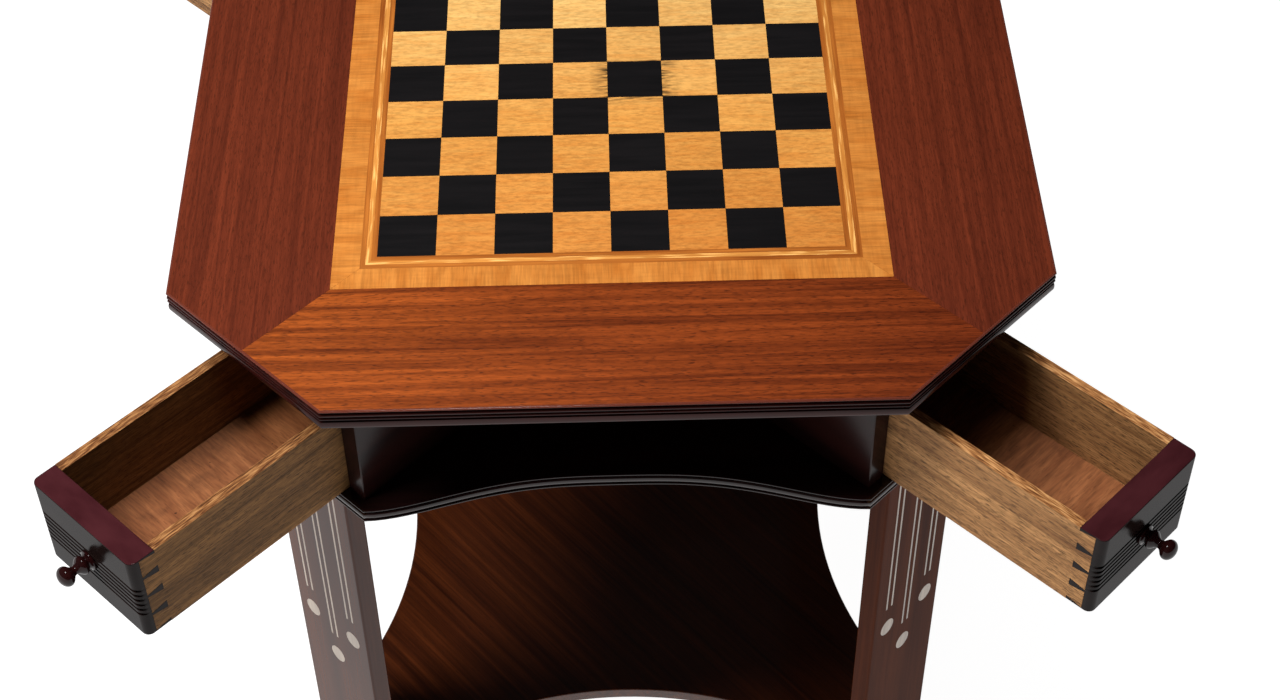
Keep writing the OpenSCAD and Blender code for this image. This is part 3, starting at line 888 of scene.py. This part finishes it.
def make_drawer_front(corner):
    """Drawer front with rounded ends, a band of reeding across it, and sockets for the tails."""
    end_r, end_steps, arris = 0.0055, 6, 0.0008
    back_x = FACE_X - FRONT_T
    beyond = 0.003
    rounded = rectangle(back_x, -DRAWER_W / 2, FACE_X, DRAWER_W / 2, end_r, end_steps)
    face_points = end_steps + 1
    outline = rounded[:2 * face_points] + [(back_x, DRAWER_W / 2), (back_x, -DRAWER_W / 2)]
    fade = [math.sin(math.pi / 2 * i / end_steps) for i in range(face_points)]
    profile = rounding(DRAWER_LOW, DRAWER_TOP, arris)
    half = len(profile) // 2
    profile[half:half] = flutes(fade + fade[::-1] + [0, 0])
    made = solid("reeded_front_" + corner, loft(outline, profile))

    sockets = []
    for start in (-DRAWER_W / 2 - SPARE, DRAWER_W / 2 - SIDE_T):
        # upright() mirrors, so the outlines run backwards
        sockets += [loft(shape[::-1], [(0, 0), (0, SIDE_T + SPARE)], upright(start))
                    for shape in tail_shapes(TAIL_FIT, beyond)]
    cut(made, [joined(sockets), bottom_groove(back_x - beyond, back_x + GROOVE_D)])
    piece(made, "drawer_" + corner, WOODS["front"], ["drawer_front_" + corner], corner)


def make_drawer_side(corner, name, side):
    """Drawer side with its tails, a groove for the bottom, and an upper edge in its own flecked tone, partly
    painted light.
    """
    root = FACE_X - FRONT_T
    outline = [(BACK_X, DRAWER_LOW), (root, DRAWER_LOW)]
    for tail in tail_shapes(0, 0):
        outline += tail[1:5]
    outline += [(root, DRAWER_TOP), (BACK_X, DRAWER_TOP)]
    start = DRAWER_W / 2 - SIDE_T if side > 0 else -DRAWER_W / 2
    made = solid("dovetailed_side_%s_%s" % (name, corner),
                 loft(outline, rounding(0, SIDE_T, 0.0004, 2), upright(start)))
    # upright() mirrors, so the faces are turned over
    made.data.flip_normals()
    # the groove runs out at the back, and on into the lowest tail
    run_on = 0.01
    cut(made, [bottom_groove(BACK_X - run_on, root + run_on)])
    # the fr and bl drawers get the lighter oak copy, painted light
    lining = WOODS["oak"] if corner in ("fl", "br") else WOODS["lit_oak"]
    piece(made, "drawer_" + corner, lining, ["drawer_side_%s_%s" % (name, corner)], corner)


def make_drawer_back(corner):
    """The low board across the back of a drawer."""
    inner = DRAWER_W / 2 - SIDE_T
    low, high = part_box("drawer_back_" + corner)
    outline = rectangle(BACK_X, -inner, BACK_X + SIDE_T, inner)
    made = solid("drawer_end_" + corner, loft(outline, rounding(low.z, high.z, 0.0005)))
    piece(made, "drawer_" + corner, WOODS["lining_back"], ["drawer_back_" + corner], corner)


def make_drawer_bottom(corner):
    """The thin panel that is let into the grooves, with a hair of room all round."""
    room, play = 0.0001, 0.00005
    half = DRAWER_W / 2 - SIDE_T + GROOVE_D - room
    high = DRAWER_LOW + BOTTOM_RISE
    outline = rectangle(BACK_X + room, -half, FACE_X - FRONT_T + GROOVE_D - room, half)
    made = solid("drawer_panel_" + corner,
                 loft(outline, rounding(high - BOTTOM_T + play, high - play, 0.0004, 2)))
    piece(made, "drawer_" + corner, WOODS["bottom"], ["drawer_bottom_" + corner],
          corner)


def make_knob(corner):
    """A turned knob: collar, bulb, slender neck and a mushroom end."""
    height = DRAWER_LOW + DRAWER_H / 2
    mm = 0.001
    shape = [(0, -10), (3.9, -10), (3.9, 0), (7.6, 0), (7.9, 0.7), (7.6, 1.5), (6.0, 2.0), (5.4, 2.6)]
    shape += [(5.0 + 2.1 * math.sin(math.pi * i / 8), 3.2 + 6.4 * i / 8) for i in range(9)]
    shape += [(3.9, 10.6), (3.3, 11.8), (3.2, 13.0), (3.7, 14.2)]
    shape += [(7.4 * math.sin(a), 19.4 - 5.4 * math.cos(a)) for a in
              (math.radians(d) for d in range(45, 180, 9))]
    shape.append((0, 24.8))
    place = Matrix.Translation((FACE_X, 0, height)) @ Matrix.Rotation(math.radians(90), 4, "Y")
    made = solid("turned_knob_" + corner, lathe([(r * mm, z * mm) for r, z in shape], place, 48))
    piece(made, "drawer_" + corner, WOODS["knob"], ["drawer_knob_" + corner], corner, sharp=45)


# ---------------------------------------------------------------- studio


def make_floor():
    """A plain pale floor, a little luminous as a lit sweep is."""
    half, thickness = 30.0, 0.02
    floor = solid("studio_floor", loft(rectangle(-half, -half, half, half), [(0, -thickness), (0, 0)]))
    t = Tree("studio_floor")
    t.shader.inputs["Base Color"].default_value = (0.30, 0.30, 0.30, 1)
    t.shader.inputs["Roughness"].default_value = 0.9
    t.shader.inputs["Specular IOR Level"].default_value = 0.0
    t.shader.inputs["Emission Color"].default_value = (1, 1, 1, 1)
    t.shader.inputs["Emission Strength"].default_value = 0.97
    floor.data.materials.append(t.material)


def make_lights():
    """A small key nearly overhead, and two soft lights, above and on the left, kept out of the polish."""
    add_softbox("key", (-0.30, -0.32, TABLE_H + 1.35), TABLE_H, 0.35, 8.5)
    broad = add_softbox("overhead", (0.0, 0.0, TABLE_H + 1.6), TABLE_H, 0.8, 8.5)
    fill = add_softbox("left_fill", (-1.2, -0.48, TABLE_H + 1.6), 0.5, 0.6, 37)
    broad.visible_glossy = False
    fill.visible_glossy = False


def add_softbox(name, place, aim_height, size, power):
    """A square area light aimed at the table's axis."""
    light = bpy.data.lights.new(name, "AREA")
    light.energy = power
    light.size = size
    made = bpy.data.objects.new(name, light)
    made.location = place
    aim = Vector((0, 0, aim_height)) - made.location
    made.rotation_euler = aim.to_track_quat("-Z", "Y").to_euler()
    bpy.context.scene.collection.objects.link(made)
    return made


def make_world():
    """Dim overhead, so that level polish doesn't haze over; pale at the horizon, most on the left."""
    world = bpy.data.worlds.new("studio")
    world.use_nodes = True
    bpy.context.scene.world = world
    tree = world.node_tree
    parts = tree.nodes.new("ShaderNodeSeparateXYZ")
    tree.links.new(tree.nodes.new("ShaderNodeTexCoord").outputs["Generated"], parts.inputs[0])
    glow = tree.nodes.new("ShaderNodeMath")
    glow.operation = "MULTIPLY"
    # each map takes the first pair of values to the second pair
    for i, (axis, values) in enumerate((("Z", (0.04, 0.16, 1.0, 0.05)), ("X", (0.2, -0.9, 0.15, 1.8)))):
        fall = tree.nodes.new("ShaderNodeMapRange")
        tree.links.new(parts.outputs[axis], fall.inputs["Value"])
        for name, value in zip(("From Min", "From Max", "To Min", "To Max"), values):
            fall.inputs[name].default_value = value
        tree.links.new(fall.outputs["Result"], glow.inputs[i])
    tree.links.new(glow.outputs["Value"], tree.nodes["Background"].inputs["Color"])


def make_camera():
    """A long lens in front of the table, looking down at the board."""
    pitch, yaw, roll = 47.07, -0.94, -0.649
    camera = bpy.data.cameras.new("camera")
    camera.lens = 65.8
    camera.sensor_width = 36
    camera.clip_end = 60
    made = bpy.data.objects.new("camera", camera)
    made.location = (0.0001, -1.3170, TABLE_H + 1.1405)
    turn = (Matrix.Rotation(math.radians(yaw), 3, "Z") @ Matrix.Rotation(math.radians(90 - pitch), 3, "X")
            @ Matrix.Rotation(math.radians(roll), 3, "Z"))
    made.rotation_euler = turn.to_euler()
    bpy.context.scene.collection.objects.link(made)
    bpy.context.scene.camera = made


make_camera()
make_floor()
make_lights()
make_world()
make_top()
make_fields()
dress_inlay()
make_deck()
make_partitions()
paint("kickers", "raw")
make_undertier()
make_screws()
for corner in CORNERS:
    make_rail(corner)
    make_leg(corner)
    make_leg_inlay(corner)
    make_drawer_front(corner)
    make_drawer_side(corner, "a", -1)
    make_drawer_side(corner, "b", 1)
    make_drawer_back(corner)
    make_drawer_bottom(corner)
    make_knob(corner)

bpy.context.scene.view_settings.view_transform = "Standard"
